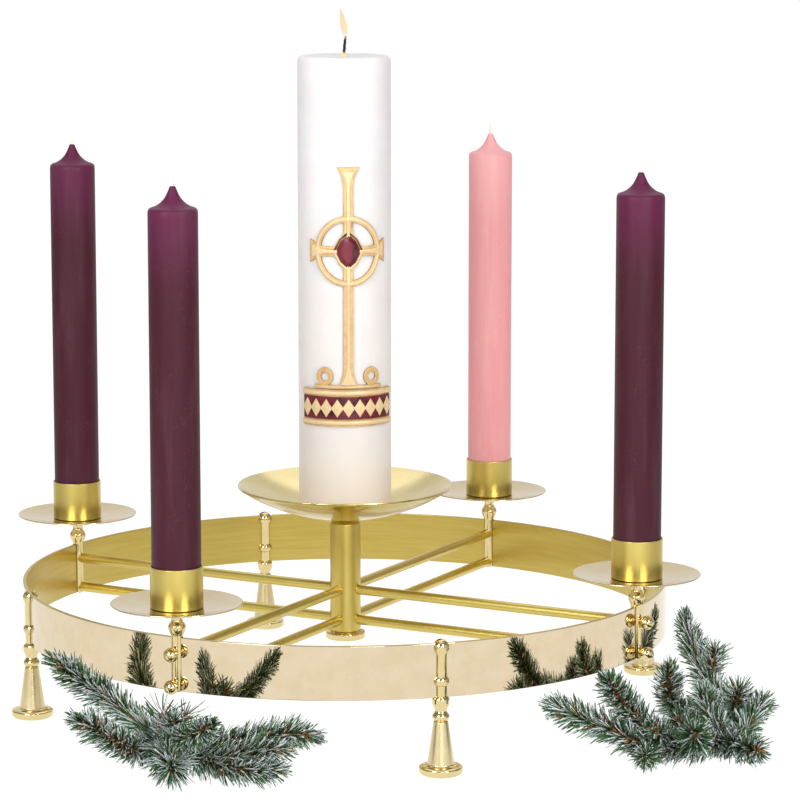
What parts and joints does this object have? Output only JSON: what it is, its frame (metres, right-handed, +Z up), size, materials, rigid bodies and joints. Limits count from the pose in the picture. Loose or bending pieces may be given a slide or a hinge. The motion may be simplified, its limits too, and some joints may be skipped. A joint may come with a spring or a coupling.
{
  "type": "brass advent wreath",
  "caption": "Round brass advent wreath on turned legs, with taper candles at the rim, a pillar candle on a raised centre pan and frosted pine sprays.",
  "frame": {"origin": "on the surface that the wreath stands on, below the middle of the whole outline, sprays included; the ring axis is at X -54.7 mm, Y 36.4 mm", "axes": "+Z is up; the crossed rods run along X and Y, with the pink candle on the +Y arm; the legs stand at 45 degrees between the arms; the front view looks from 28.2 degrees to the +X side of -Y"},
  "size_m": [0.7408, 0.7041, 0.547],
  "materials": {
    "polished": "mirror polished brass",
    "satin": "satin brushed brass",
    "white_wax": "smooth white wax with a soft sheen",
    "purple_wax": "smooth deep purple wax",
    "pink_wax": "smooth pink wax",
    "cotton_wick": "braided cotton",
    "burnt_wick": "charred cotton",
    "gold_relief": "gold coloured wax relief",
    "red_relief": "deep red glossy wax",
    "frosted_pine": "green needles tipped with white frosting, on a brown twig"
  },
  "bodies": {
    "root": {"ball_nut_0_high": "polished", "ball_nut_0_low": "polished", "ball_nut_1_high": "polished", "ball_nut_1_low": "polished", "ball_nut_2_high": "polished", "ball_nut_2_low": "polished", "ball_nut_3_high": "polished", "ball_nut_3_low": "polished", "candle_0": "purple_wax", "candle_1": "pink_wax", "candle_2": "purple_wax", "candle_3": "purple_wax", "centre_candle": "white_wax", "centre_pan": "satin", "centre_spike": "satin", "centre_wick": "burnt_wick", "emblem_band": "gold_relief", "emblem_cross": "gold_relief", "emblem_gem": "red_relief", "emblem_ground": "red_relief", "emblem_lozenges": "gold_relief", "holder_pan_0": "satin", "holder_pan_1": "satin", "holder_pan_2": "satin", "holder_pan_3": "satin", "holder_post_0": "polished", "holder_post_1": "polished", "holder_post_2": "polished", "holder_post_3": "polished", "hub": "satin", "hub_flange": "polished", "leg_finial_0": "polished", "leg_finial_1": "polished", "leg_finial_2": "polished", "leg_finial_3": "polished", "leg_foot_0": "satin", "leg_foot_1": "satin", "leg_foot_2": "satin", "leg_foot_3": "satin", "pine_spray_left": "frosted_pine", "pine_spray_right": "frosted_pine", "ring": "polished", "rod_0_high": "satin", "rod_0_low": "satin", "rod_1_high": "satin", "rod_1_low": "satin", "rod_2_high": "satin", "rod_2_low": "satin", "rod_3_high": "satin", "rod_3_low": "satin", "socket_0": "satin", "socket_1": "satin", "socket_2": "satin", "socket_3": "satin", "wick_0": "cotton_wick", "wick_1": "cotton_wick", "wick_2": "cotton_wick", "wick_3": "cotton_wick"}
  },
  "joints": []
}
